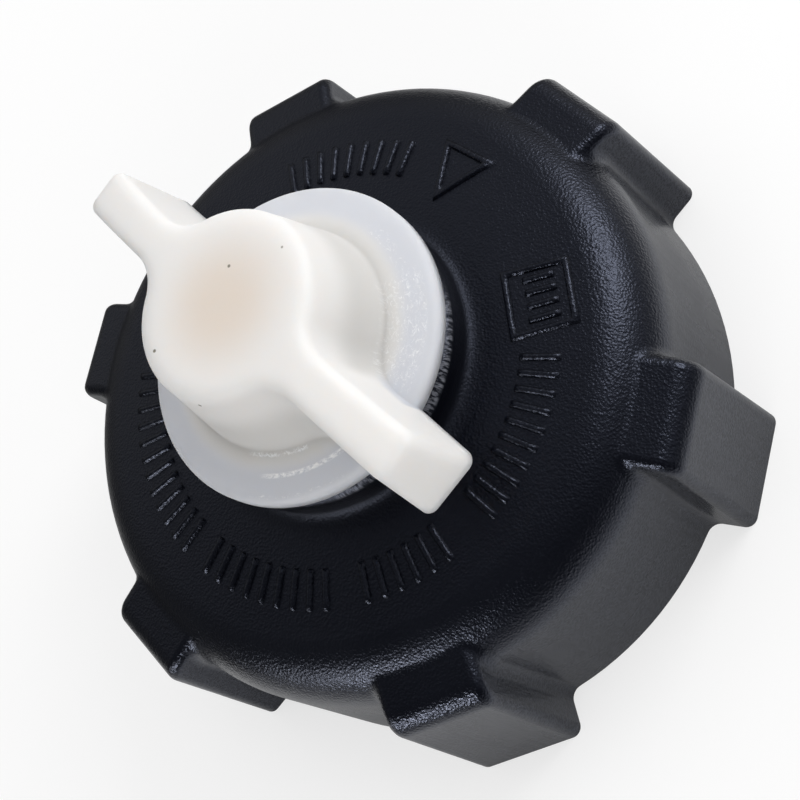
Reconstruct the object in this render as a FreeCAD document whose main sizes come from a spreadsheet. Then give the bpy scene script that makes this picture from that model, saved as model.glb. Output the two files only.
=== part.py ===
import FreeCAD, Part
import math
import os
import Sketcher

# Fuel filler cap of a portable boat tank: a lugged screw cap with a vent screw in the middle.
# Millimetres, +Z up, origin on the cap's axis in the plane of the open rim. Lug 1 points along +X.

SIZES = [
    # cap, outside
    ("neck_bore_radius", 31.5, "bore that the neck's thread is cut in"),
    ("skirt_wall", 3.1, "wall between the bore and the skirt, where the shoulder starts"),
    ("skirt_height", 17.8, "height where the shoulder starts"),
    ("skirt_draft", 1.93, "slope of the skirt, degrees"),
    ("shoulder_radius", 7.0, "rounding between skirt and dome"),
    ("dome_radius", 180.0, "sphere radius of the domed top"),
    ("collar_radius", 16.1, "raised collar under the knob"),
    ("collar_rise", 4.364, "height of the collar above the dome"),
    ("collar_edge", 0.8, "rounding of the collar's top edge"),
    ("collar_foot", 0.6, "concave rounding at the collar's foot"),
    # lugs
    ("lug_count", 6, "number of grip lugs"),
    ("lug_depth", 4.2, "how far a lug stands out of the skirt, at the rim"),
    ("lug_half_width", 6.28, "half the lug's width, at the rim"),
    ("lug_face_draft", 3.6, "slope of the lug's outer face, degrees"),
    ("lug_side_draft", 1.5, "slope of the lug's sides, degrees"),
    ("lug_top_rise", 3.8, "where the lug's top would meet its face, above the shoulder's start"),
    ("lug_top_slope", 11.0, "fall of the lug's top, degrees"),
    ("lug_nose", 3.0, "rounding between the lug's top and face"),
    ("lug_edge", 1.2, "rounding along the lug's sides, up its corners and over its top"),
    ("lug_root", 1.5, "rounding where the lug meets the skirt"),
    ("lug_sunk", 1.5, "how far the lug's block reaches in under the collar"),
    # cap, inside
    ("mouth_chamfer", 0.8, "lead-in at the open rim"),
    ("seat_rise", 2.8, "face that the gasket lies against, above the shoulder's start"),
    ("seat_width", 7.3, "width of that face"),
    ("ring_wall", 1.8, "wall of the locating ring inside the gasket"),
    ("ring_depth", 3.0, "how far the locating ring stands down from that face"),
    ("top_wall", 2.5, "wall under the dome"),
    ("wall", 2.4, "wall of the collar"),
    ("seal_depth", 3.4, "face that the vent seal closes on, below the collar's top"),
    ("guide_wall", 3.15, "wall of the tube that guides the vent stem"),
    ("guide_length", 15.2, "length of that tube below the seal's face"),
    # gasket
    ("gasket_thickness", 2.4, "neck gasket"),
    ("gasket_clearance", 0.3, "gap between the gasket and the walls beside it"),
    ("gasket_edge", 0.4, "bevel of the gasket's corners"),
    # vent screw and its seal
    ("stem_radius", 6.0, "crest of the stem's thread"),
    ("stem_clearance", 0.05, "gap between stem and guide tube"),
    ("seal_cord", 1.0, "cord radius of the vent seal"),
    ("seal_clearance", 0.05, "gap around the vent seal"),
    ("pilot_margin", 0.55, "how far the step that presses the seal reaches past it"),
    ("pilot_clearance", 1.0, "gap between that step and the collar"),
    ("flange_gap", 1.86, "gap between the collar's top and the flange, when the vent is closed"),
    ("thread_pitch", 3.0, "rise of the vent screw in one turn"),
    ("vent_turns", 1.5, "turns from closed to fully open"),
    ("stop_gap", 0.1, "gap left under the guide tube when fully open"),
    ("barb_reach", 0.9, "how far the snap barb stands out of the stem"),
    ("barb_length", 2.9, "length of the barb"),
    ("barb_taper", 1.7, "how much the barb narrows to its tip"),
    ("core_radius", 2.5, "hollow core of stem and hub"),
    ("core_cover", 4.75, "hub left over the hollow core's wall"),
    ("slot_width", 1.6, "slot that splits the stem and lets the air through"),
    ("slot_end", 1.0, "solid stem left between the slot and the seal's face"),
    # knob, heights above the flange's underside
    ("flange_reach", 4.65, "how far the flange stands out past the hub's foot"),
    ("flange_edge", 1.15, "height of the flange's upright edge"),
    ("bevel_width", 0.7, "rounded bevel at the edge of the flange's top"),
    ("bevel_rise", 0.55, "rise of that bevel"),
    ("ridge_width", 1.95, "from the bevel to the faint ridge on the flange's top"),
    ("ridge_rise", 0.64, "rise from the bevel to the ridge"),
    ("crown_rise", 0.4, "rise from the ridge to the hub"),
    ("hub_foot_radius", 12.1, "hub at the wings' underside"),
    ("hub_draft", 10.73, "slope of the hub's side, degrees"),
    ("hub_height", 13.2, "from the wings' underside to the hub's flat top"),
    ("wing_foot", 0.55, "height of the wings' underside"),
    ("wing_length", 12.6, "wing tip from the hub, at its underside"),
    ("wing_half_width", 3.55, "half the wing's width, at its underside"),
    ("wing_side_draft", 5.45, "slope of the wing's sides, degrees"),
    ("wing_tip_draft", 1.5, "slope of the wing's tip, degrees"),
    ("wing_corner", 1.2, "rounding of the wing's tip corners"),
    ("wing_fall", 49.5, "arc radius along which the wing's top falls to its tip"),
    ("fall_margin", 0.1, "how far inside the hub's rounded top edge that arc starts"),
    ("wing_root", 5.0, "rounding between wing and hub"),
    ("knob_edge", 0.9, "rounding of the knob's top edges"),
    ("knob_angle", -29.3, "where the wings point when the vent is closed, degrees"),
    ("overcut", 5.0, "how far a cutting shape reaches past what it cuts"),
]

doc = FreeCAD.newDocument("FuelFillerCap")
sheet = doc.addObject("Spreadsheet::Sheet", "Sizes")


class Size:
    """A number together with the sheet formula that it comes from."""

    def __init__(self, value, formula):
        self.value = value
        self.formula = formula

    def joined(self, other, sign, value):
        return Size(value, "(%s %s %s)" % (self.formula, sign, as_size(other).formula))

    def __add__(self, other):
        return self.joined(other, "+", self.value + as_size(other).value)

    def __sub__(self, other):
        return self.joined(other, "-", self.value - as_size(other).value)

    def __mul__(self, other):
        return self.joined(other, "*", self.value * as_size(other).value)

    def __truediv__(self, other):
        return self.joined(other, "/", self.value / as_size(other).value)

    def __neg__(self):
        return Size(-self.value, "(0 - %s)" % self.formula)


def as_size(number):
    return number if isinstance(number, Size) else Size(number, repr(float(number)))


def root(square):
    return Size(math.sqrt(square.value), "sqrt(%s)" % square.formula)


def sine(angle):
    return Size(math.sin(math.radians(angle.value)), "sin(%s)" % angle.formula)


def cosine(angle):
    return Size(math.cos(math.radians(angle.value)), "cos(%s)" % angle.formula)


def tangent(angle):
    return Size(math.tan(math.radians(angle.value)), "tan(%s)" % angle.formula)


def fill_sheet():
    """Writes every driving size into the sheet and returns them by name."""
    sizes = {}
    for row, (alias, value, meaning) in enumerate(SIZES, start=1):
        sheet.set("A%d" % row, alias)
        sheet.set("B%d" % row, str(value))
        sheet.set("C%d" % row, meaning)
        sheet.setAlias("B%d" % row, alias)
        sizes[alias] = Size(float(value), "Sizes.%s" % alias)
    doc.recompute()
    return sizes


S = fill_sheet()
ZERO = as_size(0.0)
BEYOND = S["overcut"]


def new_body(name):
    body = doc.addObject("PartDesign::Body", name)
    body.Label = name
    return body


def new_sketch(body, name, role, height=None):
    """A sketch on one of the body's own origin planes, lifted by height."""
    sketch = body.newObject("Sketcher::SketchObject", name)
    plane = [p for p in body.Origin.OriginFeatures if p.Role == role][0]
    sketch.AttachmentSupport = [(plane, "")]
    sketch.MapMode = "FlatFace"
    if height is not None:
        sketch.setExpression("AttachmentOffset.Base.z", height.formula)
    return sketch


def arc_between(start, end, radius, side):
    """The short arc from start to end. side is 1 when its centre lies to the left of the way."""
    chord = end - start
    half = chord.Length / 2
    left = FreeCAD.Vector(-chord.y, chord.x, 0).normalize()
    centre = (start + end) / 2 + left * side * math.sqrt(max(radius * radius - half * half, 0.0))
    first = math.atan2(start.y - centre.y, start.x - centre.x)
    last = math.atan2(end.y - centre.y, end.x - centre.x)
    if side < 0:
        first, last = last, first
    if last < first:
        last += 2 * math.pi
    circle = Part.Circle(centre, FreeCAD.Vector(0, 0, 1), radius)
    return Part.ArcOfCircle(circle, first, last)


def draw_outline(sketch, corners):
    """Closed outline through the corners, each (x, y), or (x, y, radius, side) after an arc.

    Every corner and radius is held by a constraint with the sheet formula behind it.
    """
    places = [FreeCAD.Vector(c[0].value, c[1].value, 0) for c in corners]
    ends = []
    for index, corner in enumerate(corners):
        start, end = places[index - 1], places[index]
        if len(corner) == 4:
            edge = sketch.addGeometry(arc_between(start, end, corner[2].value, corner[3]), False)
            ends.append((edge, 1, 2) if corner[3] > 0 else (edge, 2, 1))
        else:
            edge = sketch.addGeometry(Part.LineSegment(start, end), False)
            ends.append((edge, 1, 2))
    for index in range(len(corners)):
        before, after = ends[index - 1], ends[index]
        sketch.addConstraint(Sketcher.Constraint("Coincident", before[0], before[2], after[0], after[1]))
    for index, corner in enumerate(corners):
        edge, last = ends[index][0], ends[index][2]
        bind(sketch, Sketcher.Constraint("DistanceX", edge, last, corner[0].value), corner[0])
        bind(sketch, Sketcher.Constraint("DistanceY", edge, last, corner[1].value), corner[1])
        if len(corner) == 4:
            bind(sketch, Sketcher.Constraint("Radius", edge, corner[2].value), corner[2])


def bind(sketch, constraint, size):
    number = sketch.addConstraint(constraint)
    sketch.setExpression("Constraints[%d]" % number, size.formula)


def revolve(body, name, sketch, kind="PartDesign::Revolution"):
    """A full turn of the sketch about the body's axis."""
    feature = body.newObject(kind, name)
    feature.Profile = sketch
    feature.ReferenceAxis = (sketch, ["V_Axis"])
    feature.Angle = 360.0
    return feature


def loft(body, name, low, high):
    feature = body.newObject("PartDesign::AdditiveLoft", name)
    feature.Profile = low
    feature.Sections = [high]
    feature.Ruled = True
    return feature


def pocket_across(body, name, sketch):
    """Cuts the sketch's outline through the whole body, both ways from the sketch's plane."""
    feature = body.newObject("PartDesign::Pocket", name)
    feature.Profile = sketch
    feature.Type = 1
    feature.Midplane = True
    return feature


def edge_numbers(shape, wanted):
    """Numbers of the edges whose middle point and edge pass the test."""
    numbers = []
    for number, edge in enumerate(shape.Edges, start=1):
        middle = edge.valueAt((edge.FirstParameter + edge.LastParameter) / 2)
        if wanted(edge, middle):
            numbers.append(number)
    return numbers


def round_edges(body, name, base, size, wanted):
    """A PartDesign fillet on the edges of the base feature that pass the test."""
    doc.recompute()
    numbers = edge_numbers(base.Shape, wanted)
    feature = body.newObject("PartDesign::Fillet", name)
    feature.Base = (base, ["Edge%d" % number for number in numbers])
    feature.setExpression("Radius", size.formula)
    return feature


# Outside of the cap: drafted skirt, round shoulder, shallow dome and the collar under the knob

skirt_radius = S["neck_bore_radius"] + S["skirt_wall"]
rim_radius = skirt_radius + S["skirt_height"] * tangent(S["skirt_draft"])
shoulder_x = skirt_radius - S["shoulder_radius"]
dome_to_shoulder = S["dome_radius"] - S["shoulder_radius"]
dome_centre = S["skirt_height"] - root(dome_to_shoulder * dome_to_shoulder - shoulder_x * shoulder_x)
dome_share = S["dome_radius"] / dome_to_shoulder


def dome_height(radius):
    return dome_centre + root(S["dome_radius"] * S["dome_radius"] - radius * radius)


collar_spread = S["collar_radius"] + S["collar_foot"]
collar_top = dome_height(collar_spread) + S["collar_rise"]
shell = new_body("cap_outside")
shell_sketch = new_sketch(shell, "cap_outside_profile", "XZ_Plane")
draw_outline(shell_sketch, [
    (ZERO, ZERO),
    (rim_radius, ZERO),
    (skirt_radius, S["skirt_height"]),
    (shoulder_x * dome_share, dome_centre + (S["skirt_height"] - dome_centre) * dome_share,
     S["shoulder_radius"], 1),
    (collar_spread, dome_height(collar_spread), S["dome_radius"], 1),
    (S["collar_radius"], dome_height(collar_spread) + S["collar_foot"], S["collar_foot"], -1),
    (S["collar_radius"], collar_top - S["collar_edge"]),
    (S["collar_radius"] - S["collar_edge"], collar_top, S["collar_edge"], 1),
    (ZERO, collar_top),
])
shell_solid = revolve(shell, "cap_outside_turned", shell_sketch)


# One grip lug: a drafted block, its top sloping on from the dome and rounded over its face

lug_reach = rim_radius + S["lug_depth"]
lug_start = S["collar_radius"] - S["lug_sunk"]
lug_top_edge = S["skirt_height"] + S["lug_top_rise"]
lug_block_top = collar_top


def lug_outline(height):
    """Corners of the lug's plan at a height."""
    reach = lug_reach - height * tangent(S["lug_face_draft"])
    half = S["lug_half_width"] - height * tangent(S["lug_side_draft"])
    return [
        (lug_start, -half),
        (reach, -half),
        (reach, half),
        (lug_start, half),
    ]


lug = new_body("lug")
lug_low = new_sketch(lug, "lug_at_rim", "XY_Plane")
draw_outline(lug_low, lug_outline(ZERO))
lug_high = new_sketch(lug, "lug_above", "XY_Plane", lug_block_top)
draw_outline(lug_high, lug_outline(lug_block_top))
lug_block = loft(lug, "lug_block", lug_low, lug_high)

face_top = lug_reach - lug_top_edge * tangent(S["lug_face_draft"])
lug_inside = lug_start - BEYOND
lug_outside = lug_reach + BEYOND
lug_above = lug_block_top + BEYOND
lug_crown = new_sketch(lug, "lug_crown_line", "XZ_Plane")
draw_outline(lug_crown, [
    (lug_inside, lug_top_edge + (face_top - lug_inside) * tangent(S["lug_top_slope"])),
    (lug_outside, lug_top_edge + (face_top - lug_outside) * tangent(S["lug_top_slope"])),
    (lug_outside, lug_above),
    (lug_inside, lug_above),
])
lug_trimmed = pocket_across(lug, "lug_trimmed", lug_crown)


def lug_front(edge, middle):
    """The edge between the lug's top and its face."""
    return abs(middle.y) < 0.01 and middle.x > lug_start.value + 1 and middle.z > 1


def lug_side_line(edge, middle):
    """The edges up the lug's corners, over its nose and back along its top."""
    outward = middle.x > lug_start.value + 0.5 and middle.z > 0.5
    return outward and abs(middle.y) > S["lug_half_width"].value / 2


lug_nosed = round_edges(lug, "lug_nose_rounded", lug_trimmed, S["lug_nose"], lug_front)
lug_solid = round_edges(lug, "lug_sides_rounded", lug_nosed, S["lug_edge"], lug_side_line)
doc.recompute()


# The cap's moulding: shell and lugs in one, rounded where they meet, then hollowed

lugs = []
for number in range(int(S["lug_count"].value)):
    turned = doc.addObject("Part::Feature", "lug_%d" % (number + 1))
    turned.Shape = lug.Shape.copy()
    turn = FreeCAD.Rotation(FreeCAD.Vector(0, 0, 1), number * 360.0 / S["lug_count"].value)
    turned.Placement = FreeCAD.Placement(FreeCAD.Vector(0, 0, 0), turn)
    lugs.append(turned)
outside = doc.addObject("Part::MultiFuse", "cap_with_lugs")
outside.Shapes = [shell] + lugs
doc.recompute()


def lug_root(edge, middle):
    """The upright lines where a lug's side meets the skirt."""
    box = edge.BoundBox
    radius = math.hypot(middle.x, middle.y)
    upright = box.ZLength > 0.8 * S["skirt_height"].value
    return upright and radius < rim_radius.value + 0.1 and radius > skirt_radius.value - 1.0


rounded = doc.addObject("Part::Fillet", "cap_rounded")
rounded.Base = outside
rounded.Edges = [(number, S["lug_root"].value, S["lug_root"].value)
                 for number in edge_numbers(outside.Shape, lug_root)]

bore_radius = S["stem_radius"] + S["stem_clearance"]
guide_radius = bore_radius + S["guide_wall"]
seal_inner = S["stem_radius"] + S["seal_clearance"]
pilot_radius = seal_inner + S["seal_cord"] * 2 + S["pilot_margin"]
pilot_bore = pilot_radius + S["pilot_clearance"]
seal_seat = collar_top - S["seal_depth"]
guide_foot = seal_seat - S["guide_length"]
gasket_seat = S["skirt_height"] + S["seat_rise"]
ring_outer = S["neck_bore_radius"] - S["seat_width"]
ring_inner = ring_outer - S["ring_wall"]
ring_foot = gasket_seat - S["ring_depth"]
ceiling_outer = dome_height(ring_inner) - S["top_wall"]
ceiling_inner = dome_height(S["collar_radius"]) - S["top_wall"]
collar_inside = S["collar_radius"] - S["wall"]
recess_inside = pilot_bore + S["wall"]
recess_top = collar_top - S["wall"]
mouth = S["neck_bore_radius"] + S["mouth_chamfer"]
hollow = new_body("cap_inside")
hollow_sketch = new_sketch(hollow, "cap_inside_profile", "XZ_Plane")
draw_outline(hollow_sketch, [
    (ZERO, -BEYOND),
    (mouth, -BEYOND),
    (mouth, ZERO),
    (S["neck_bore_radius"], S["mouth_chamfer"]),
    (S["neck_bore_radius"], gasket_seat),
    (ring_outer, gasket_seat),
    (ring_outer, ring_foot),
    (ring_inner, ring_foot),
    (ring_inner, ceiling_outer),
    (S["collar_radius"], ceiling_inner),
    (collar_inside, ceiling_inner + S["wall"]),
    (collar_inside, recess_top),
    (recess_inside, recess_top),
    (recess_inside, seal_seat - S["wall"]),
    (guide_radius, seal_seat - S["wall"]),
    (guide_radius, guide_foot),
    (bore_radius, guide_foot),
    (bore_radius, seal_seat),
    (pilot_bore, seal_seat),
    (pilot_bore, collar_top + BEYOND),
    (ZERO, collar_top + BEYOND),
])
hollow_solid = revolve(hollow, "cap_inside_turned", hollow_sketch)
cap = doc.addObject("Part::Cut", "cap_body")
cap.Base = rounded
cap.Tool = hollow


# Neck gasket: a flat rubber ring held between the bore and the locating ring

gasket_low = gasket_seat - S["gasket_thickness"]
gasket_in = ring_outer + S["gasket_clearance"]
gasket_out = S["neck_bore_radius"] - S["gasket_clearance"]
bevel = S["gasket_edge"]
gasket = new_body("neck_gasket")
gasket_sketch = new_sketch(gasket, "neck_gasket_section", "XZ_Plane")
draw_outline(gasket_sketch, [
    (gasket_in + bevel, gasket_low),
    (gasket_out - bevel, gasket_low),
    (gasket_out, gasket_low + bevel),
    (gasket_out, gasket_seat),
    (gasket_in, gasket_seat),
    (gasket_in, gasket_low + bevel),
])
gasket_solid = revolve(gasket, "neck_gasket_turned", gasket_sketch)


# Vent knob: stem, flange, hub and two wings in one moulding, its own zero at the flange's underside

lift = S["thread_pitch"] * S["vent_turns"]
knob_height = collar_top + S["flange_gap"]
pilot_depth = knob_height - seal_seat - S["seal_cord"] * 2 - S["seal_clearance"] * 2
barb_top = guide_foot - lift - S["stop_gap"] - knob_height
stem_end = barb_top - S["barb_length"]
barb_radius = S["stem_radius"] + S["barb_reach"]
slot_top = seal_seat - S["slot_end"] - knob_height
flange_radius = S["hub_foot_radius"] + S["flange_reach"]
bevel_radius = flange_radius - S["bevel_width"]
bevel_top = S["flange_edge"] + S["bevel_rise"]
ridge_radius = bevel_radius - S["ridge_width"]
ridge_top = bevel_top + S["ridge_rise"]
flange_crown = ridge_top + S["crown_rise"]
hub_top = S["wing_foot"] + S["hub_height"]
hub_top_radius = S["hub_foot_radius"] - S["hub_height"] * tangent(S["hub_draft"])
wing_reach = S["hub_foot_radius"] + S["wing_length"]
fall_start = hub_top_radius - S["knob_edge"] - S["fall_margin"]
knob_above = hub_top + BEYOND


def hub_radius(height):
    """The hub is a cone: its radius at a height above the flange's underside."""
    return S["hub_foot_radius"] - (height - S["wing_foot"]) * tangent(S["hub_draft"])


knob = new_body("vent_knob")
turned_sketch = new_sketch(knob, "stem_and_flange_profile", "XZ_Plane")
draw_outline(turned_sketch, [
    (ZERO, stem_end),
    (barb_radius - S["barb_taper"], stem_end),
    (barb_radius, (stem_end + barb_top) / 2),
    (barb_radius, barb_top),
    (S["stem_radius"], barb_top),
    (S["stem_radius"], -pilot_depth),
    (pilot_radius, -pilot_depth),
    (pilot_radius, ZERO),
    (flange_radius, ZERO),
    (flange_radius, S["flange_edge"]),
    (bevel_radius, bevel_top, S["bevel_width"], 1),
    (ridge_radius, ridge_top),
    (hub_radius(flange_crown), flange_crown),
    (hub_radius(knob_above), knob_above),
    (ZERO, knob_above),
])
knob_turned = revolve(knob, "stem_flange_and_hub", turned_sketch)


def wing_outline(height):
    """Plan of both wings as one bar through the hub, at a height."""
    half = S["wing_half_width"] - (height - S["wing_foot"]) * tangent(S["wing_side_draft"])
    reach = wing_reach - (height - S["wing_foot"]) * tangent(S["wing_tip_draft"])
    return [
        (-reach, -half),
        (reach, -half),
        (reach, half),
        (-reach, half),
    ]


wings_low = new_sketch(knob, "wings_at_foot", "XY_Plane", S["wing_foot"])
draw_outline(wings_low, wing_outline(S["wing_foot"]))
wings_high = new_sketch(knob, "wings_above", "XY_Plane", knob_above)
draw_outline(wings_high, wing_outline(knob_above))
knob_wings = loft(knob, "wings", wings_low, wings_high)


def wing_root(edge, middle):
    """The upright lines where a wing's side meets the hub."""
    upright = edge.BoundBox.ZLength > S["hub_height"].value / 2
    return upright and math.hypot(middle.x, middle.y) < S["hub_foot_radius"].value


def wing_tip(edge, middle):
    """The upright corners of the wings' tips."""
    upright = edge.BoundBox.ZLength > S["hub_height"].value / 2
    return upright and math.hypot(middle.x, middle.y) > flange_radius.value and abs(middle.y) > 0.1


knob_rooted = round_edges(knob, "wing_roots_rounded", knob_wings, S["wing_root"], wing_root)
knob_tipped = round_edges(knob, "wing_tips_rounded", knob_rooted, S["wing_corner"], wing_tip)

# The hub's top is flat, and from it the wings' tops fall in an arc to their tips
fall_end = wing_reach + BEYOND
fall_run = fall_end - fall_start
fall_height = hub_top - S["wing_fall"] + root(S["wing_fall"] * S["wing_fall"] - fall_run * fall_run)
top_sketch = new_sketch(knob, "top_line", "XZ_Plane")
draw_outline(top_sketch, [
    (-fall_end, fall_height),
    (-fall_start, hub_top, S["wing_fall"], -1),
    (fall_start, hub_top),
    (fall_end, fall_height, S["wing_fall"], -1),
    (fall_end, knob_above + BEYOND),
    (-fall_end, knob_above + BEYOND),
])
knob_cut = pocket_across(knob, "top_trimmed", top_sketch)


def knob_crest(edge, middle):
    """Edges round the top of hub and wings."""
    box = edge.BoundBox
    out = max(abs(middle.x) - fall_start.value, 0.0)
    drop = S["wing_fall"].value - math.sqrt(S["wing_fall"].value ** 2 - out ** 2)
    across = box.XLength < 0.05 and abs(middle.y) < 0.05 and abs(middle.x) < hub_top_radius.value + 2
    return abs(middle.z - (hub_top.value - drop)) < 0.15 and not across


knob_soft = round_edges(knob, "knob_crest_rounded", knob_cut, S["knob_edge"], knob_crest)

# The stem is hollow, and a slot splits it into two snap legs and lets the air past
core_top = hub_top - S["core_cover"]
core_sketch = new_sketch(knob, "core_profile", "XZ_Plane")
draw_outline(core_sketch, [
    (ZERO, stem_end - BEYOND),
    (S["core_radius"], stem_end - BEYOND),
    (S["core_radius"], core_top),
    (ZERO, core_top + S["core_radius"] / 2),
])
knob_core = revolve(knob, "hollow_core", core_sketch, "PartDesign::Groove")
slot_sketch = new_sketch(knob, "slot_outline", "XZ_Plane")
draw_outline(slot_sketch, [
    (-S["slot_width"] / 2, stem_end - BEYOND),
    (S["slot_width"] / 2, stem_end - BEYOND),
    (S["slot_width"] / 2, slot_top),
    (-S["slot_width"] / 2, slot_top),
])
knob_slot = pocket_across(knob, "stem_slot", slot_sketch)
knob.setExpression("Placement.Base.z", knob_height.formula)
knob.Placement = FreeCAD.Placement(FreeCAD.Vector(0, 0, knob_height.value),
                                   FreeCAD.Rotation(FreeCAD.Vector(0, 0, 1), S["knob_angle"].value))


# Vent seal: an O-ring round the stem, between the collar's seat and the step under the flange

seal = doc.addObject("Part::Torus", "vent_seal")
seal.setExpression("Radius1", (seal_inner + S["seal_cord"]).formula)
seal.setExpression("Radius2", S["seal_cord"].formula)
seal.setExpression("Placement.Base.z", (seal_seat + S["seal_clearance"] + S["seal_cord"]).formula)

doc.recompute()

NODES = {
    "cap_body": cap,
    "neck_gasket": gasket,
    "vent_knob": knob,
    "vent_seal": seal,
}


def check_and_write():
    """Stops on a failed object or shape, then writes one STEP file per piece."""
    for thing in doc.Objects:
        if "Invalid" in thing.State or "Error" in thing.State:
            raise RuntimeError("failed: %s %s" % (thing.Name, thing.State))
    for name, thing in NODES.items():
        shape = thing.Shape
        if shape.isNull() or not shape.isValid() or len(shape.Solids) != 1:
            raise RuntimeError("not one valid solid: %s" % name)
    os.makedirs("parts", exist_ok=True)
    for name, thing in NODES.items():
        thing.Label = name
        thing.Shape.exportStep("parts/%s.step" % name)
        box = thing.Shape.BoundBox
        print("%s volume %.2f, x %.2f..%.2f, y %.2f..%.2f, z %.2f..%.2f" % (
            name, thing.Shape.Volume, box.XMin, box.XMax, box.YMin, box.YMax, box.ZMin, box.ZMax))


check_and_write()
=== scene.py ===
import math

import bmesh
import bpy
from bpy.props import FloatProperty, FloatVectorProperty, PointerProperty
from mathutils import Matrix, Vector
from mathutils.bvhtree import BVHTree


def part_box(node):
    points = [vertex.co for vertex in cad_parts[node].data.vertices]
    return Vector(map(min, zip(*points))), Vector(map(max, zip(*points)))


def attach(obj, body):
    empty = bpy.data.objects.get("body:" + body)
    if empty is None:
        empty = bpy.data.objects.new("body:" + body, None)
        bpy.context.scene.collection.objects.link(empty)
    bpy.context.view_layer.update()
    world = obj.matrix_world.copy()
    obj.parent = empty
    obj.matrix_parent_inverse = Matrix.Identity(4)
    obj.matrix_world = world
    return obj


bl_info = {
    "name": "Fuel filler cap looks",
    "version": (1, 0, 0),
    "blender": (4, 2, 0),
    "location": "View3D > Sidebar > Filler cap",
    "description": "Dresses the packed filler cap: materials, raised marks, neck thread and studio",
    "category": "Object",
}

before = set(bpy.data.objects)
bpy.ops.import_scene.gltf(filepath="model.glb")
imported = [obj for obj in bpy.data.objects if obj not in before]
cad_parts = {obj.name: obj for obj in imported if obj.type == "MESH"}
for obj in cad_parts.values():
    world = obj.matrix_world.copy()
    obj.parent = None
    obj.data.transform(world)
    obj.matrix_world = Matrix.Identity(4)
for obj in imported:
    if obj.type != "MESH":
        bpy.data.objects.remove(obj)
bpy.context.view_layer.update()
_, cap_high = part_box("cap_body")
_, knob_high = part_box("vent_knob")

MM = 0.001
COLLAR_TOP = 30.6 * MM
KNOB_TOP = knob_high.z

# Radius at which noise that runs round the axis has its true size
EDGE_RADIUS = 15.0 * MM

# Inputs of a node that maps one span of values to another
SPAN = ("From Min", "From Max", "To Min", "To Max")

# Most values of a noise texture lie between these
NOISE_LOW, NOISE_HIGH = 0.3, 0.7


def linear(hex_colour):
    """An sRGB hex colour as the linear values that Blender works in."""
    channels = [int(hex_colour[i:i + 2], 16) / 255 for i in (1, 3, 5)]
    return tuple(c / 12.92 if c <= 0.04045 else ((c + 0.055) / 1.055) ** 2.4 for c in channels)


def size(label, text, millimetres):
    """A length property, given in millimetres and kept in metres."""
    return FloatProperty(name=label, description=text, default=millimetres * MM, subtype="DISTANCE",
                         unit="LENGTH", precision=4, min=0.0)


def turn(label, text, degrees):
    """An angle property, given in degrees and kept in radians."""
    return FloatProperty(name=label, description=text, default=math.radians(degrees),
                         subtype="ANGLE", unit="ROTATION")


def colour(label, text, hex_colour):
    """A colour property, given as an sRGB hex value."""
    return FloatVectorProperty(name=label, description=text, default=linear(hex_colour), size=3,
                               subtype="COLOR", min=0.0, max=1.0)


class CapColours(bpy.types.PropertyGroup):
    cap: colour("Cap", "Black moulded polyethylene", "#07080e")
    gleam: colour("Cap's gleam", "Cool tint of what the black cap mirrors", "#d7e1ff")
    dragged: colour("Dragged walls", "Streaks where the walls slid out of the tool", "#2c2e34")
    # Painted highlight on the collar's edge, on the lit side, in scratch streaks
    painted_edge_highlight: colour("Rubbed edge", "Collar's edge where the knob's flange rubs it", "#74767e")
    knob: colour("Knob", "Undyed moulded polypropylene", "#f1efed")
    # Painted shade: warm tan over the hollow core under the hub's top
    painted_core_shade: colour("Knob's core", "Where the hollow core lies under the hub's top", "#e8ddd2")
    # Painted shade in the corner between hub and flange
    painted_foot_shade: colour("Knob's foot", "Where the core darkens the wall over the flange", "#dad8d5")
    # Painted shade: the thin flange is greyer, as if the black cap showed through it
    painted_thin_flange_shade: colour("Knob's flange", "Thin flange, the black cap showing through it", "#d2d4da")
    # Painted highlight: white glints along the flange's scrapes
    painted_scrape_glints: colour("Scraped flange", "Fine scrapes that run round the flange", "#ffffff")
    dirt: colour("Dirt", "Tiny specks on the knob", "#8a8579")
    rubber: colour("Rubber", "Nitrile rubber of gasket and O-ring", "#17171a")
    bloom: colour("Bloom", "Dusty bloom on the rubber", "#212125")
    floor: colour("Floor", "Pale studio floor", "#f2f2f2")


class FinishSizes(bpy.types.PropertyGroup):
    pores: size("Pores", "Pitch of the leather grain on the cap", 0.28)
    grit: size("Grit", "Pitch of the fine roughness in the grain", 0.3)
    drag: size("Drag marks", "Width of the upright streaks on the cap's walls", 0.9)
    polish: size("Polish", "Size of the duller and the glossier patches of the cap", 9.0)
    scuffs: size("Scuffs", "Pitch of the fine scuffs on the knob", 1.6)
    specks: size("Specks", "Distance between specks of dirt on the knob", 5.0)
    depth: size("Depth", "Depth of the cap's grain and the knob's scuffs", 0.06)
    glow: size("Glow", "How deep light sinks into the knob", 3.0)
    dust: size("Dust", "Size of the dusty patches on the rubber", 3.0)
    collar_edge: size("Collar's edge", "How round the collar's edge and foot look", 1.8)
    hub_edge: size("Hub's edge", "How round the hub's top edge looks", 3.0)
    hub_foot: size("Hub's foot", "How round the corner between hub and flange looks", 3.2)
    wing_edge: size("Wing's edge", "How round the edges of wings and flange look", 1.7)


class MarkSizes(bpy.types.PropertyGroup):
    inner: size("Inner radius", "Raised marks start here, from the axis", 21.7)
    outer: size("Outer radius", "Raised marks end here", 25.7)
    width: size("Stroke", "Width of a raised stroke", 0.75)
    height: size("Height", "How far the marks stand above the dome", 0.38)
    sunk: size("Sunk", "How deep the marks' edges go under the dome", 0.12)


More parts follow.
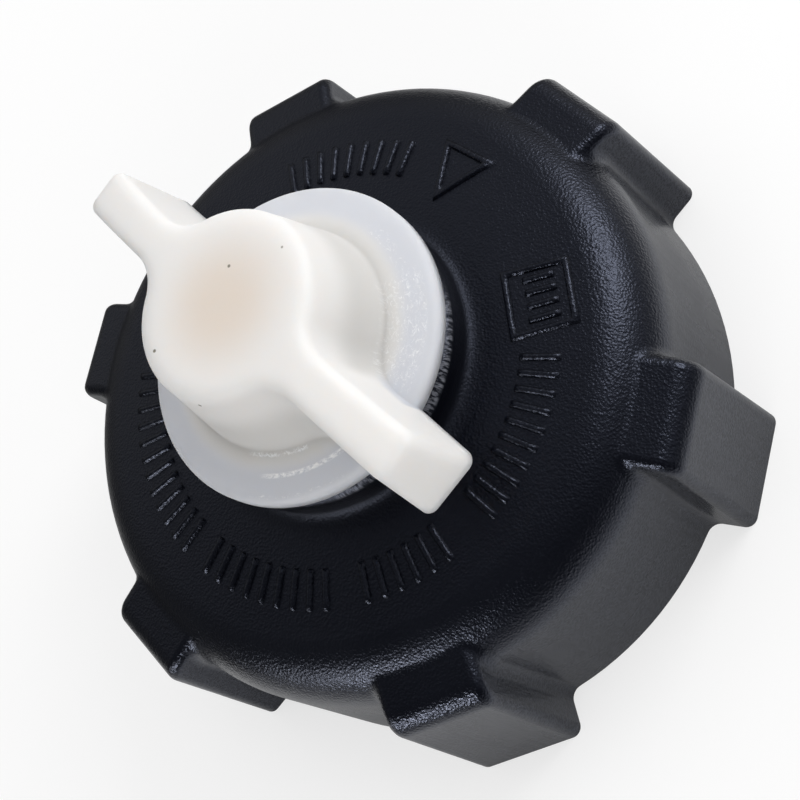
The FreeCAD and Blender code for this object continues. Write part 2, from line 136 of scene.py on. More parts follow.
class ThreadSizes(bpy.types.PropertyGroup):
    root_radius: size("Root radius", "Bore that the ridge stands on", 31.5)
    crest_radius: size("Crest radius", "Inner edge of the ridge", 30.2)
    pitch: size("Pitch", "Rise of the thread in one turn", 5.0)
    start: size("Start", "Height of the ridge's first end above the rim", 3.2)
    turns: FloatProperty(name="Turns", description="Length of the ridge in turns",
                         default=2.3, min=0.1)
    root_width: size("Root width", "Ridge at the bore's wall", 2.7)
    crest_width: size("Crest width", "Ridge at its crest", 1.1)
    crest_corner: size("Crest's corner", "How far the crest's corners are cut back", 0.2)
    sunk: size("Sunk", "How deep the ridge's foot goes into the bore's wall", 0.15)


class StageSettings(bpy.types.PropertyGroup):
    azimuth: turn("Camera azimuth", "Angle of the camera from +X", -19.02)
    elevation: turn("Camera elevation", "Angle of the camera above the floor", 56.52)
    roll: turn("Camera roll", "Turn of the camera about its own axis", 60.54)
    distance: size("Camera distance", "From the aim point", 162.56)
    lens: FloatProperty(name="Lens", description="Focal length on a 36 mm sensor",
                        default=71.555, min=1.0)
    aim: FloatVectorProperty(name="Aim", description="Point that the camera looks at", size=3,
                             default=(8.577 * MM, -2.607 * MM, 25.0 * MM),
                             subtype="TRANSLATION", unit="LENGTH")
    floor_size: size("Floor", "Side of the square floor", 4000.0)
    floor_drop: size("Floor's drop", "Gap between the cap's rim and the floor", 0.05)


def direction(azimuth, elevation):
    """A unit vector at an azimuth and elevation in degrees."""
    a, e = math.radians(azimuth), math.radians(elevation)
    return Vector((math.cos(a) * math.cos(e), math.sin(a) * math.cos(e), math.sin(e)))


# Materials

def node(tree, kind, links=(), values=(), stops=(), **settings):
    """Adds a node with its settings, input values and the (position, grey) stops of its ramp.

    links fill inputs, from a socket or from the first output in use of another node.
    """
    made = tree.nodes.new(kind)
    for name, value in settings.items():
        setattr(made, name, value)
    for name, value in values:
        made.inputs[name].default_value = value
    for name, source in links:
        if isinstance(source, bpy.types.Node):
            source = next(socket for socket in source.outputs if socket.enabled)
        tree.links.new(source, made.inputs[name])
    for number, (position, grey) in enumerate(stops):
        ends = made.color_ramp.elements
        end = ends[number] if number < len(ends) else ends.new(1.0)
        end.position = position
        end.color = (grey, grey, grey, 1.0)
    return made


def empty_material(name):
    """A material whose node tree is still empty, and the tree."""
    material = bpy.data.materials.new(name)
    material.use_nodes = True
    material.node_tree.nodes.clear()
    return material, material.node_tree


def repeats(length):
    """Texture scale whose pattern repeats about once in this length."""
    return 1.0 / length


def round_axis(tree, place):
    """Sockets with a place's distance from the axis, angle round it in radians, and height."""
    split = node(tree, "ShaderNodeSeparateXYZ", links=[("Vector", place)])
    across, along, up = (split.outputs[axis] for axis in "XYZ")
    flat = node(tree, "ShaderNodeCombineXYZ", links=[("X", across), ("Y", along)])
    out = node(tree, "ShaderNodeVectorMath", operation="LENGTH", links=[(0, flat)])
    angle = node(tree, "ShaderNodeMath", operation="ARCTAN2", links=[(0, along), (1, across)])
    return out, angle, up


def ring_noise(tree, out, angle, around, outward, **values):
    """Noise that runs round the axis, with its size round it and outward."""
    turned = node(tree, "ShaderNodeMath", operation="MULTIPLY", links=[(0, angle)],
                  values=[(1, EDGE_RADIUS / around)])
    moved = node(tree, "ShaderNodeMath", operation="MULTIPLY", links=[(0, out)],
                 values=[(1, repeats(outward))])
    place = node(tree, "ShaderNodeCombineXYZ", links=[("X", turned), ("Y", moved)])
    return node(tree, "ShaderNodeTexNoise", links=[("Vector", place)],
                values=[("Scale", 1.0), *values.items()])


def mask(tree, *edges, within=None):
    """A value that is 1 in one part of the surface and falls softly to 0 outside it.

    Each edge is a measure with the values where that part starts and where it is full, the first
    above the second where the part lies below the edge. within is a mask that it stays inside.
    """
    for measure, start, full in edges:
        span = (start, full, 0.0, 1.0) if start < full else (full, start, 1.0, 0.0)
        edge = node(tree, "ShaderNodeMapRange", interpolation_type="SMOOTHERSTEP",
                    links=[("Value", measure)], values=zip(SPAN, span))
        if within is None:
            within = edge
        else:
            within = node(tree, "ShaderNodeMath", operation="MULTIPLY",
                          links=[(0, within), (1, edge)])
    return within


def black_polyethylene(colours, sizes):
    """High-density polyethylene, black, moulded in a tool with a spark-eroded leather grain.

    To the eye: a soft satin black that sparkles along rounded edges, and turns grey where it
    mirrors the pale floor at a low angle.
    """
    material, tree = empty_material("black_polyethylene_leather_grain")
    place = node(tree, "ShaderNodeTexCoord").outputs["Object"]
    out, angle, up = round_axis(tree, place)
    normal = node(tree, "ShaderNodeNewGeometry").outputs["Normal"]
    facing_up = node(tree, "ShaderNodeSeparateXYZ", links=[("Vector", normal)]).outputs["Z"]

    # Leather grain: fine pores, with grit of about the same height in them
    pore_height = 1.1
    pores = node(tree, "ShaderNodeTexVoronoi", feature="SMOOTH_F1", links=[("Vector", place)],
                 values=[("Scale", repeats(sizes.pores)), ("Smoothness", 0.3), ("Randomness", 1.0)])
    grit = node(tree, "ShaderNodeTexNoise", links=[("Vector", place)],
                values=[("Scale", repeats(sizes.grit)), ("Detail", 2.0), ("Roughness", 0.7)])
    grain = node(tree, "ShaderNodeMath", operation="MULTIPLY_ADD", links=[(0, pores), (2, grit)],
                 values=[(1, pore_height)])

    # The tool's drafted walls have only a share of the grain, so that the cap slides out, and leave
    # upright drag marks on it. A texture that is squeezed in height draws them long
    wall, top = 0.12, 0.45
    wall_grain, squeeze = 0.3, 0.06
    upright = node(tree, "ShaderNodeVectorMath", operation="MULTIPLY", links=[(0, place)],
                   values=[(1, (1.0, 1.0, squeeze))])
    drag = node(tree, "ShaderNodeTexNoise", links=[("Vector", upright)],
                values=[("Scale", repeats(sizes.drag)), ("Detail", 3.0), ("Roughness", 0.6)])
    on_wall = node(tree, "ShaderNodeMath", operation="MULTIPLY_ADD", links=[(0, grain), (2, drag)],
                   values=[(1, wall_grain)])
    grained = mask(tree, (facing_up, wall, top))
    relief = node(tree, "ShaderNodeMix", data_type="FLOAT",
                  links=[("Factor", grained), ("A", on_wall), ("B", grain)])

    # Drag whitens the outer walls, and not the collar's, in faint streaks and stronger specks
    streak_share, speck_share = 0.22, 0.6
    fine = node(tree, "ShaderNodeMath", operation="MULTIPLY", links=[(0, grain)],
                values=[(1, speck_share)])
    mottled = node(tree, "ShaderNodeMath", operation="MULTIPLY_ADD", links=[(0, drag), (2, fine)],
                   values=[(1, streak_share)])
    streaked = mask(tree, (facing_up, top, wall), (out, 30.0 * MM, 33.0 * MM),
                    (mottled, 0.45, 0.95))

    # Painted highlight: the collar's edge is painted grey in short scratch streaks, only on the
    # side where the lamp catches it
    scratch = ring_noise(tree, out, angle, 0.4 * MM, 1.0 * MM,
                         Detail=3.0, Roughness=0.7, Distortion=0.5)
    inside, outside = (out, 15.0 * MM, 15.5 * MM), (out, 16.4 * MM, 16.0 * MM)
    near_top = (up, COLLAR_TOP - 1.2 * MM, COLLAR_TOP - 0.5 * MM)
    from_here = (angle, math.radians(-70), math.radians(-58))
    to_here = (angle, math.radians(36), math.radians(18))
    painted_edge_highlight = mask(tree, inside, outside, near_top, from_here, to_here, (scratch, 0.42, 0.62))
    tint = node(tree, "ShaderNodeMix", data_type="RGBA", links=[("Factor", painted_edge_highlight)],
                values=[("A", (*colours.cap, 1.0)), ("B", (*colours.painted_edge_highlight, 1.0))])
    tint = node(tree, "ShaderNodeMix", data_type="RGBA", links=[("Factor", streaked), ("A", tint)],
                values=[("B", (*colours.dragged, 1.0))])

    # Gloss wanders in broad patches. Hands polish the shoulder and the lugs and leave the dome
    # duller, and dust lies in the corner at the collar's foot
    polish = node(tree, "ShaderNodeTexNoise", links=[("Vector", place)],
                  values=[("Scale", repeats(sizes.polish)), ("Detail", 2.0)])
    rough = node(tree, "ShaderNodeMapRange", links=[("Value", polish)],
                 values=zip(SPAN, (NOISE_LOW, NOISE_HIGH, 0.24, 0.31)))
    unhandled = node(tree, "ShaderNodeMapRange", links=[("Value", out)],
                     values=zip(SPAN, (31.0 * MM, 35.0 * MM, 0.04, 0.0)))
    rough = node(tree, "ShaderNodeMath", operation="ADD", links=[(0, rough), (1, unhandled)])
    dusty = mask(tree, (out, 18.6 * MM, 17.2 * MM),
                 (up, COLLAR_TOP - 2.0 * MM, COLLAR_TOP - 3.0 * MM))
    rough = node(tree, "ShaderNodeMix", data_type="FLOAT", links=[("Factor", dusty), ("A", rough)],
                 values=[("B", 0.48)])

    # Only the collar's edges are softened. The dome and the lugs keep the ones they are cut with
    soft = node(tree, "ShaderNodeMapRange", links=[("Value", out)],
                values=zip(SPAN, (18.0 * MM, 20.0 * MM, sizes.collar_edge, 0.0)))
    softened = node(tree, "ShaderNodeBevel", samples=8, links=[("Radius", soft)])
    bump = node(tree, "ShaderNodeBump", links=[("Height", relief), ("Normal", softened)],
                values=[("Strength", 0.66), ("Distance", sizes.depth)])
    shader = node(tree, "ShaderNodeBsdfPrincipled",
                  links=[("Base Color", tint), ("Roughness", rough), ("Normal", bump)],
                  values=[("IOR", 1.5), ("Specular IOR Level", 0.3),
                          ("Specular Tint", (*colours.gleam, 1.0))])
    node(tree, "ShaderNodeOutputMaterial", links=[("Surface", shader)])
    return material


# Painted highlights: white glints along scrapes on the knob's flange. Inner and outer radius in mm,
# first and last angle in degrees, and the noise values at which a scrape starts and is full. Its
# sides fade from a bit past their radius to a bit short of it, and its ends over a few degrees to
# either side
SCRAPE_PAST, SCRAPE_SHORT = 0.25, 0.05
SCRAPE_FADE = 4.0
FLANGE_SCRAPE_GLINTS = (
    (13.95, 14.15, -84.0, -44.0, 0.38, 0.60),
    (11.85, 12.1, -92.0, -60.0, 0.42, 0.66),
    (15.95, 16.1, -90.0, -50.0, 0.50, 0.74),
    (11.6, 15.6, -14.0, 34.0, 0.46, 0.80),
    (13.6, 14.6, 34.0, 62.0, 0.50, 0.80),
)


def flange_scrape_glints(tree, out, angle, flange):
    """Mask of the painted glints, white, along fine scrapes that run round the knob's flange."""
    grains = ring_noise(tree, out, angle, 0.55 * MM, 0.35 * MM,
                        Detail=5.0, Roughness=0.8, Distortion=0.8)
    painted_scrape_glints = None
    for inner, outer, first, last, start, full in FLANGE_SCRAPE_GLINTS:
        scrape = mask(
            tree, (out, (inner - SCRAPE_PAST) * MM, (inner + SCRAPE_SHORT) * MM),
            (out, (outer + SCRAPE_PAST) * MM, (outer - SCRAPE_SHORT) * MM),
            (angle, math.radians(first - SCRAPE_FADE), math.radians(first + SCRAPE_FADE)),
            (angle, math.radians(last + SCRAPE_FADE), math.radians(last - SCRAPE_FADE)),
            (grains, start, full), within=flange)
        if painted_scrape_glints is None:
            painted_scrape_glints = scrape
        else:
            painted_scrape_glints = node(tree, "ShaderNodeMath", operation="MAXIMUM",
                           links=[(0, painted_scrape_glints), (1, scrape)])
    return painted_scrape_glints


def natural_polypropylene(colours, sizes):
    """Undyed polypropylene, moulded in a polished tool.

    To the eye: milky white that light sinks into, with painted warm shade where the hollow core
    lies under the hub's top, painted shade on the thin flange and at the hub's foot, fine scuffs
    that catch the lamp, and painted glints along scrapes on the flange.
    """
    material, tree = empty_material("natural_polypropylene_moulded")
    place = node(tree, "ShaderNodeTexCoord").outputs["Object"]
    out, angle, up = round_axis(tree, place)

    # Where the colour changes: the flange below the hub, painted warm shade over the core under the
    # hub's top, painted shade on the flange's thin part and at the foot of the hub, and specks of
    # dirt
    flange = mask(tree, (up, KNOB_TOP - 8.5 * MM, KNOB_TOP - 11.0 * MM))
    core = mask(tree, (out, 10.0 * MM, 0.5 * MM), (up, KNOB_TOP - 9.0 * MM, KNOB_TOP - 1.0 * MM))
    # Painted shade on the flange's thin part
    thin = mask(tree, (out, 10.8 * MM, 14.6 * MM), (out, 17.6 * MM, 16.9 * MM), within=flange)
    # Painted shade on the hub's wall down to the flange
    foot = mask(tree, (up, KNOB_TOP - 2.5 * MM, KNOB_TOP - 8.0 * MM),
                (out, 8.6 * MM, 10.2 * MM), (out, 14.2 * MM, 11.8 * MM))
    cells = node(tree, "ShaderNodeTexVoronoi", links=[("Vector", place)],
                 values=[("Scale", repeats(sizes.specks))])
    specks = mask(tree, (cells, 0.05, 0.025))
    tint = node(tree, "ShaderNodeMix", data_type="RGBA", links=[("Factor", core)],
                values=[("A", (*colours.knob, 1.0)), ("B", (*colours.painted_core_shade, 1.0))])
    # Painted highlights: white glints along the flange's scrapes
    painted_scrape_glints = flange_scrape_glints(tree, out, angle, flange)
    for spread, laid in ((thin, colours.painted_thin_flange_shade), (foot, colours.painted_foot_shade),
                         (specks, colours.dirt), (painted_scrape_glints, colours.painted_scrape_glints)):
        tint = node(tree, "ShaderNodeMix", data_type="RGBA",
                    links=[("Factor", spread), ("A", tint)], values=[("B", (*laid, 1.0))])

    scuff = node(tree, "ShaderNodeTexNoise", links=[("Vector", place)],
                 values=[("Scale", repeats(sizes.scuffs)), ("Detail", 5.0), ("Roughness", 0.7),
                         ("Distortion", 0.4)])
    rough = node(tree, "ShaderNodeMapRange", links=[("Value", scuff)],
                 values=zip(SPAN, (NOISE_LOW, NOISE_HIGH, 0.48, 0.68)))

    # Edges are softer than they are cut, at the hub's top and most of all at its foot
    soft = node(tree, "ShaderNodeMapRange", links=[("Value", out)],
                values=zip(SPAN, (8.0 * MM, 13.0 * MM, sizes.hub_edge, sizes.wing_edge)))
    corner = mask(tree, (out, 14.4 * MM, 13.0 * MM), within=flange)
    soft = node(tree, "ShaderNodeMix", data_type="FLOAT", links=[("Factor", corner), ("A", soft)],
                values=[("B", sizes.hub_foot)])
    softened = node(tree, "ShaderNodeBevel", samples=12, links=[("Radius", soft)])
    bump = node(tree, "ShaderNodeBump", links=[("Height", scuff), ("Normal", softened)],
                values=[("Strength", 0.25), ("Distance", sizes.depth)])
    shader = node(tree, "ShaderNodeBsdfPrincipled",
                  links=[("Base Color", tint), ("Roughness", rough), ("Normal", bump)],
                  values=[("IOR", 1.49), ("Specular IOR Level", 0.3), ("Subsurface Weight", 0.8),
                          ("Subsurface Radius", (1.0, 0.92, 0.85)),
                          ("Subsurface Scale", sizes.glow)])
    node(tree, "ShaderNodeOutputMaterial", links=[("Surface", shader)])
    return material


def nitrile_rubber(colours, sizes):
    """Nitrile rubber, moulded and left matt.

    To the eye: a dull soft black with a dusty bloom.
    """
    material, tree = empty_material("nitrile_rubber_moulded")
    place = node(tree, "ShaderNodeTexCoord").outputs["Object"]
    bloom = node(tree, "ShaderNodeTexNoise", links=[("Vector", place)],
                 values=[("Scale", repeats(sizes.dust)), ("Detail", 4.0)])
    tint = node(tree, "ShaderNodeMix", data_type="RGBA", links=[("Factor", bloom)],
                values=[("A", (*colours.rubber, 1.0)), ("B", (*colours.bloom, 1.0))])
    grit = node(tree, "ShaderNodeTexNoise", links=[("Vector", place)],
                values=[("Scale", repeats(0.25 * MM)), ("Detail", 3.0)])
    bump = node(tree, "ShaderNodeBump", links=[("Height", grit)],
                values=[("Strength", 0.3), ("Distance", 0.03 * MM)])
    shader = node(tree, "ShaderNodeBsdfPrincipled", links=[("Base Color", tint), ("Normal", bump)],
                  values=[("Roughness", 0.7)])
    node(tree, "ShaderNodeOutputMaterial", links=[("Surface", shader)])
    return material


# How bright gloss mirrors the floor at distances from the axis in mm: dim in the cap's own shadow,
# brightest just past it, and darker far off. The ramp that holds this is as long as the reach
MIRRORED_FLOOR = ((40.0, 0.68), (50.0, 1.10), (58.0, 1.50), (72.0, 1.25), (160.0, 0.40))
MIRROR_REACH = 200.0


def studio_floor(colours):
    """Matt painted board, near white.

    To the eye: an even white with a faint shadow. Gloss mirrors it brighter on the window's side.
    """
    material, tree = empty_material("white_painted_board")
    path = node(tree, "ShaderNodeLightPath")
    glossy = path.outputs["Is Glossy Ray"]
    place = node(tree, "ShaderNodeTexCoord").outputs["Object"]
    away = node(tree, "ShaderNodeVectorMath", operation="LENGTH", links=[(0, place)])

    # The camera sees paint that takes the cap's shadow, mixed with an even glow that turns the
    # floor plain white further off. Gloss sees less of the glow
    gloss_share = 0.3
    seen = node(tree, "ShaderNodeMath", operation="MAXIMUM", links=[
        (0, path.outputs["Is Camera Ray"]), (1, path.outputs["Is Transmission Ray"])])
    even = node(tree, "ShaderNodeMapRange", links=[("Value", away)],
                values=zip(SPAN, (60.0 * MM, 400.0 * MM, 0.6, 1.0)))
    even = node(tree, "ShaderNodeMath", operation="MULTIPLY", links=[(0, seen), (1, even)])
    mirrored = node(tree, "ShaderNodeMath", operation="MULTIPLY", links=[(0, glossy)],
                    values=[(1, gloss_share)])
    even = node(tree, "ShaderNodeMath", operation="MAXIMUM", links=[(0, even), (1, mirrored)])

    # Gloss mirrors a bright ring round the cap, stronger on the window's side
    across = node(tree, "ShaderNodeVectorMath", operation="DOT_PRODUCT", links=[(0, place)],
                  values=[(1, direction(-20.0, 0.0))])
    side = mask(tree, (across, -75.0 * MM, 15.0 * MM))
    side = node(tree, "ShaderNodeMapRange", links=[("Value", side)],
                values=zip(SPAN, (0.0, 1.0, 0.25, 1.05)))
    far = node(tree, "ShaderNodeMath", operation="MULTIPLY", links=[(0, away)],
               values=[(1, repeats(MIRROR_REACH * MM))])
    ring = node(tree, "ShaderNodeValToRGB", links=[("Fac", far)],
                stops=[(distance / MIRROR_REACH, grey) for distance, grey in MIRRORED_FLOOR])
    level = node(tree, "ShaderNodeMath", operation="MULTIPLY", links=[(0, side), (1, ring)])
    level = node(tree, "ShaderNodeMix", data_type="FLOAT", links=[("Factor", glossy), ("B", level)],
                 values=[("A", 1.0)])
    tone = node(tree, "ShaderNodeVectorMath", operation="SCALE", values=[(0, colours.floor)],
                links=[("Scale", level)])

    # The glow's strength lifts the floor's pale grey to white
    paint = node(tree, "ShaderNodeBsdfDiffuse", links=[("Color", tone)])
    glow = node(tree, "ShaderNodeEmission", links=[("Color", tone)], values=[("Strength", 1.24)])
    mixed = node(tree, "ShaderNodeMixShader", links=[("Fac", even), (1, paint), (2, glow)])
    node(tree, "ShaderNodeOutputMaterial", links=[("Surface", mixed)])
    return material


# Pieces

def finish(material, *names):
    """Gives these pieces of the frame one material."""
    for name in names:
        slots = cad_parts[name].data.materials
        slots.clear()
        slots.append(material)


class FILLERCAP_OT_cap(bpy.types.Operator):
    """Gives the cap its black polyethylene with a leather grain"""
    bl_idname = "fillercap.cap"
    bl_label = "Finish the cap"

    def execute(self, context):
        black = black_polyethylene(context.scene.cap_colours, context.scene.cap_finish)
        finish(black, "cap_body")
        return {"FINISHED"}


class FILLERCAP_OT_knob(bpy.types.Operator):
    """Gives the vent knob its milky polypropylene, with painted shade over its core, foot and
    flange, and painted glints along scrapes on the flange
    """
    bl_idname = "fillercap.knob"
    bl_label = "Finish the vent knob"

    def execute(self, context):
        milky = natural_polypropylene(context.scene.cap_colours, context.scene.cap_finish)
        finish(milky, "vent_knob")
        return {"FINISHED"}


class FILLERCAP_OT_rubber(bpy.types.Operator):
    """Gives the neck's gasket and the vent's O-ring their rubber"""
    bl_idname = "fillercap.rubber"
    bl_label = "Finish the rubber rings"

    def execute(self, context):
        rubber = nitrile_rubber(context.scene.cap_colours, context.scene.cap_finish)
        finish(rubber, "neck_gasket", "vent_seal")
        return {"FINISHED"}


def put_in_scene(name, data):
    """An object with this name and data, in the scene."""
    thing = bpy.data.objects.new(name, data)
    bpy.context.scene.collection.objects.link(thing)
    return thing


def skin(shape, rows):
    """Faces between each row of vertices and the next."""
    for first, second in zip(rows, rows[1:]):
        for k in range(len(first) - 1):
            shape.faces.new((first[k], second[k], second[k + 1], first[k + 1]))


def add_to_cap(name, shape):
    """Makes a bmesh a smooth piece of the black moulding, which rides on the cap."""
    bmesh.ops.recalc_face_normals(shape, faces=shape.faces)
    mesh = bpy.data.meshes.new(name)
    shape.to_mesh(mesh)
    shape.free()
    for face in mesh.polygons:
        face.use_smooth = True
    mesh.materials.append(bpy.data.materials["black_polyethylene_leather_grain"])
    piece = put_in_scene(name, mesh)
    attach(piece, "cap")


def dome_finder():
    """A function that gives the dome's height at a point of the plan."""
    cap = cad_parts["cap_body"].data
    tree = BVHTree.FromPolygons([vertex.co for vertex in cap.vertices],
                                [face.vertices for face in cap.polygons])
    above = cap_high.z + 20.0 * MM

    def height(point):
        place, *_ = tree.ray_cast(Vector((point.x, point.y, above)), Vector((0, 0, -1)))
        return place.z
    return height


# Section of a raised stroke: offset in its widths, and rise in its heights. Its two feet have no
# rise and go under the dome, and its ends are drawn out by a share of the width
STROKE_SECTION = ((-0.62, None), (-0.5, 0.15), (-0.36, 0.75), (-0.16, 1.0),
                  (0.16, 1.0), (0.36, 0.75), (0.5, 0.15), (0.62, None))
STROKE_END = 0.3

# How many times as wide as its sides a stroke may get in a corner
WIDEST_CORNER = 2.0


def ridge(shape, line, marks, dome):
    """A rounded raised stroke along a line of plan points, following the dome."""
    def on_dome(point, lift):
        return shape.verts.new((point.x, point.y, dome(point) + lift))

    closed = line[0] == line[-1]
    points = line[:-1] if closed else line
    rows = []
    for index, point in enumerate(points):
        before = points[index - 1] if closed or index > 0 else point
        after = points[(index + 1) % len(points)] if closed or index < len(points) - 1 else point
        along = (after - before).normalized()
        side = Vector((-along.y, along.x))
        if point not in (before, after):
            arriving = (point - before).normalized()
            side = side / max(abs(along.dot(arriving)), 1.0 / WIDEST_CORNER)
        rows.append([on_dome(point + side * offset * marks.width,
                             -marks.sunk if rise is None else marks.height * rise)
                     for offset, rise in STROKE_SECTION])
    if closed:
        rows.append(rows[0])
    else:
        tips = []
        for row, end, beside in ((rows[0], points[0], points[1]),
                                 (rows[-1], points[-1], points[-2])):
            drawn_out = (end - beside).normalized() * marks.width * STROKE_END
            tips.append([on_dome(vertex.co.xy + drawn_out, -marks.sunk) for vertex in row])
        rows = [tips[0], *rows, tips[1]]
    skin(shape, rows)


def straight(start, end, parts=6):
    """Points along a straight line, both ends included."""
    return [start.lerp(end, k / parts) for k in range(parts + 1)]


def polar(radius, degrees):
    """A plan point at a radius and angle."""
    angle = math.radians(degrees)
    return Vector((radius * math.cos(angle), radius * math.sin(angle)))


# Runs of bars round the dome: first and last angle in degrees, and how many bars
BAR_RUNS = (
    (84.0, 119.0, 9),
    (-172.0, -122.0, 12),
    (-113.0, -76.5, 9),
    (-65.5, -43.5, 6),
    (-30.0, 8.0, 10),
)

# Other strokes, as radius in mm and angle in degrees: a pointer, then the ribbed pad's frame and
# its ribs
OUTLINES = (
    ((20.9, 68.5), (26.6, 74.5), (26.6, 62.0), (20.9, 68.5)),
    ((20.9, 13.5), (27.2, 16.0), (27.2, 30.0), (20.9, 32.5), (20.9, 13.5)),
    ((22.6, 17.6), (25.6, 18.4)),
    ((22.6, 21.4), (25.6, 21.6)),
    ((22.6, 25.0), (25.6, 24.8)),
    ((22.6, 28.6), (25.6, 28.0)),
)


class FILLERCAP_OT_marks(bpy.types.Operator):
    """Raises plain bars, a pointer and a ribbed pad on the dome, round the collar"""
    bl_idname = "fillercap.marks"
    bl_label = "Raise the dome's marks"

    def execute(self, context):
        marks = context.scene.cap_marks
        dome = dome_finder()
        shape = bmesh.new()
        for first, last, count in BAR_RUNS:
            for number in range(count):
                angle = first + (last - first) * number / (count - 1)
                bar = straight(polar(marks.inner, angle), polar(marks.outer, angle))
                ridge(shape, bar, marks, dome)
        for outline in OUTLINES:
            corners = [polar(radius * MM, angle) for radius, angle in outline]
            line = []
            for here, there in zip(corners, corners[1:]):
                line += straight(here, there)[:-1]
            ridge(shape, line + [corners[-1]], marks, dome)
        add_to_cap("dome_marks", shape)
        return {"FINISHED"}


# The neck thread's ridge: steps in a turn, and steps in which each end grows out of the wall
THREAD_STEPS = 72
THREAD_RUN_OUT = 8

# The crest's corners are cut back: its width where that starts and at the top, as shares of it
CREST_CORNER, CREST_TOP = 1.25, 0.8


class FILLERCAP_OT_neck_thread(bpy.types.Operator):
    """Winds the right-handed thread ridge inside the neck bore"""
    bl_idname = "fillercap.neck_thread"
    bl_label = "Wind the neck thread"

    def execute(self, context):
        thread = context.scene.cap_thread
        shape = bmesh.new()
        steps = int(THREAD_STEPS * thread.turns)
        foot = thread.root_radius + thread.sunk
        half_foot, half_crest = thread.root_width / 2, thread.crest_width / 2
        rows = []
        for step in range(steps + 1):
            turned = thread.turns * step / steps
            grown = min(1.0, step / THREAD_RUN_OUT, (steps - step) / THREAD_RUN_OUT)
            grown = grown * grown * (3 - 2 * grown)
            crest = thread.root_radius - (thread.root_radius - thread.crest_radius) * grown
            corner = crest + thread.crest_corner * grown
            middle = thread.start + thread.pitch * turned
            flank = [(foot, half_foot), (corner, half_crest * CREST_CORNER),
                     (crest, half_crest * CREST_TOP)]
            section = [(radius, -half) for radius, half in flank] + flank[::-1]
            x, y = polar(1.0, 360.0 * turned)
            rows.append([shape.verts.new((radius * x, radius * y, middle + rise))
                         for radius, rise in section])
        skin(shape, [row + row[:1] for row in rows])
        shape.faces.new(rows[0])
        shape.faces.new(rows[-1])
        add_to_cap("neck_thread_ridge", shape)
        return {"FINISHED"}


# Lamps: name, azimuth, elevation, distance, width and height in mm, watts, and what they reach:
# "gloss" shows only as a gleam, "matt" lights without a gleam, "all" does both
LAMPS = (
    ("window_far_right", 60.0, 38.0, 450.0, 190.0, 170.0, 0.65, "all"),
    ("window_gleam", 60.0, 38.0, 451.0, 190.0, 170.0, 0.6, "gloss"),
    ("window_near_left", -87.0, 14.0, 500.0, 90.0, 75.0, 1.3, "gloss"),
    ("window_far_left", -109.0, 12.0, 500.0, 120.0, 90.0, 0.5, "gloss"),
    ("ceiling_card", 160.0, 80.0, 700.0, 700.0, 700.0, 1.6, "matt"),
    ("side_card", -60.0, 18.0, 600.0, 450.0, 300.0, 1.2, "matt"),
)

# Two soft bright parts of the room: azimuth, elevation, and the greys of a ramp over how nearly a
# ray points there
ROOM = (
    (155.0, 38.0, ((0.0, 0.03), (0.30, 0.10), (0.64, 0.14), (0.82, 0.27), (0.94, 0.55),
                   (1.0, 0.65))),
    (65.0, 30.0, ((0.0, 0.03), (0.30, 0.12), (0.50, 0.22), (0.82, 0.65), (1.0, 1.2))),
)


def hang_lamps(centre):
    """Rectangular lamps that face the centre."""
    for name, azimuth, elevation, distance, width, height, watts, reach in LAMPS:
        lamp = bpy.data.lights.new(name, "AREA")
        lamp.shape = "RECTANGLE"
        lamp.size = width * MM
        lamp.size_y = height * MM
        lamp.energy = watts
        holder = put_in_scene(name, lamp)
        holder.visible_glossy = reach != "matt"
        holder.visible_diffuse = reach != "gloss"
        outward = direction(azimuth, elevation)
        holder.location = centre + outward * distance * MM
        holder.rotation_euler = outward.to_track_quat("Z", "Y").to_euler()


def studio_room():
    """Room with two soft bright parts round the cap, plain white to the camera."""
    world = bpy.data.worlds.new("studio_room")
    world.use_nodes = True
    tree = world.node_tree
    tree.nodes.clear()
    way = node(tree, "ShaderNodeTexCoord").outputs["Generated"]
    level = node(tree, "ShaderNodeLightPath").outputs["Is Camera Ray"]
    for azimuth, elevation, stops in ROOM:
        facing = node(tree, "ShaderNodeVectorMath", operation="DOT_PRODUCT", links=[(0, way)],
                      values=[(1, direction(azimuth, elevation))])
        glow = node(tree, "ShaderNodeValToRGB", links=[("Fac", facing)], stops=stops)
        level = node(tree, "ShaderNodeMath", operation="MAXIMUM", links=[(0, level), (1, glow)])
    light = node(tree, "ShaderNodeBackground", links=[("Color", level)], values=[("Strength", 1.0)])
    node(tree, "ShaderNodeOutputWorld", links=[("Surface", light)])
    return world


def photo_camera(stage):
    """Camera at the photograph's angle, turned about its own axis as it was."""
    lens = bpy.data.cameras.new("camera")
    lens.sensor_width = 36.0
    lens.lens = stage.lens
    lens.clip_start = 10.0 * MM
    camera = put_in_scene("camera", lens)
    back = direction(math.degrees(stage.azimuth), math.degrees(stage.elevation))
    right = Vector((0, 0, 1)).cross(back).normalized()
    up = back.cross(right)
    turned_right = right * math.cos(stage.roll) - up * math.sin(stage.roll)
    turned_up = right * math.sin(stage.roll) + up * math.cos(stage.roll)
    facing = Matrix((turned_right, turned_up, back)).transposed().to_4x4()
    camera.matrix_world = Matrix.Translation(Vector(stage.aim) + back * stage.distance) @ facing
    return camera


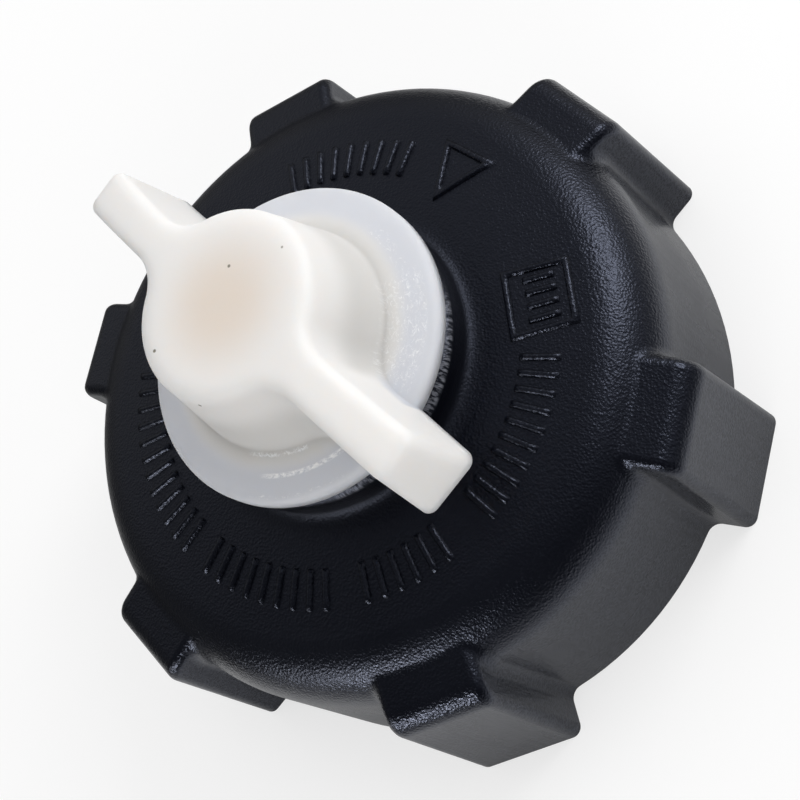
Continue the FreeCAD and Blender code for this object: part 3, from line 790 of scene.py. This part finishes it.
class FILLERCAP_OT_stage(bpy.types.Operator):
    """Builds the pale floor, soft lamps, surroundings and camera"""
    bl_idname = "fillercap.stage"
    bl_label = "Build the studio"

    def execute(self, context):
        scene = context.scene
        stage = scene.cap_stage
        half, level = stage.floor_size / 2, -stage.floor_drop
        mesh = bpy.data.meshes.new("floor")
        mesh.from_pydata([(-half, -half, level), (half, -half, level), (half, half, level),
                          (-half, half, level)], [], [(0, 1, 2, 3)])
        mesh.materials.append(studio_floor(scene.cap_colours))
        floor = put_in_scene("floor", mesh)

        hang_lamps(Vector((0, 0, cap_high.z / 2)))
        scene.world = studio_room()
        scene.camera = photo_camera(stage)
        scene.view_settings.view_transform = "Standard"
        return {"FINISHED"}


class FILLERCAP_PT_panel(bpy.types.Panel):
    """Lists the steps that dress the filler cap, and their sizes and colours"""
    bl_idname = "FILLERCAP_PT_panel"
    bl_label = "Filler cap"
    bl_space_type = "VIEW_3D"
    bl_region_type = "UI"
    bl_category = "Filler cap"

    def draw(self, context):
        for step in STEPS:
            self.layout.operator(step.bl_idname)
        for name, group in GROUPS.items():
            box = self.layout.box()
            for setting in group.__annotations__:
                box.prop(getattr(context.scene, name), setting)


GROUPS = {
    "cap_colours": CapColours,
    "cap_finish": FinishSizes,
    "cap_marks": MarkSizes,
    "cap_thread": ThreadSizes,
    "cap_stage": StageSettings,
}
STEPS = (FILLERCAP_OT_cap, FILLERCAP_OT_knob, FILLERCAP_OT_rubber, FILLERCAP_OT_marks,
         FILLERCAP_OT_neck_thread, FILLERCAP_OT_stage)


def register():
    for made in (*GROUPS.values(), *STEPS, FILLERCAP_PT_panel):
        bpy.utils.register_class(made)
    for name, group in GROUPS.items():
        setattr(bpy.types.Scene, name, PointerProperty(type=group))


def unregister():
    for name in GROUPS:
        delattr(bpy.types.Scene, name)
    for made in reversed((*GROUPS.values(), *STEPS, FILLERCAP_PT_panel)):
        bpy.utils.unregister_class(made)


def main():
    register()
    bpy.ops.fillercap.cap()
    bpy.ops.fillercap.knob()
    bpy.ops.fillercap.rubber()
    bpy.ops.fillercap.marks()
    bpy.ops.fillercap.neck_thread()
    bpy.ops.fillercap.stage()


if __name__ == "__main__":
    main()
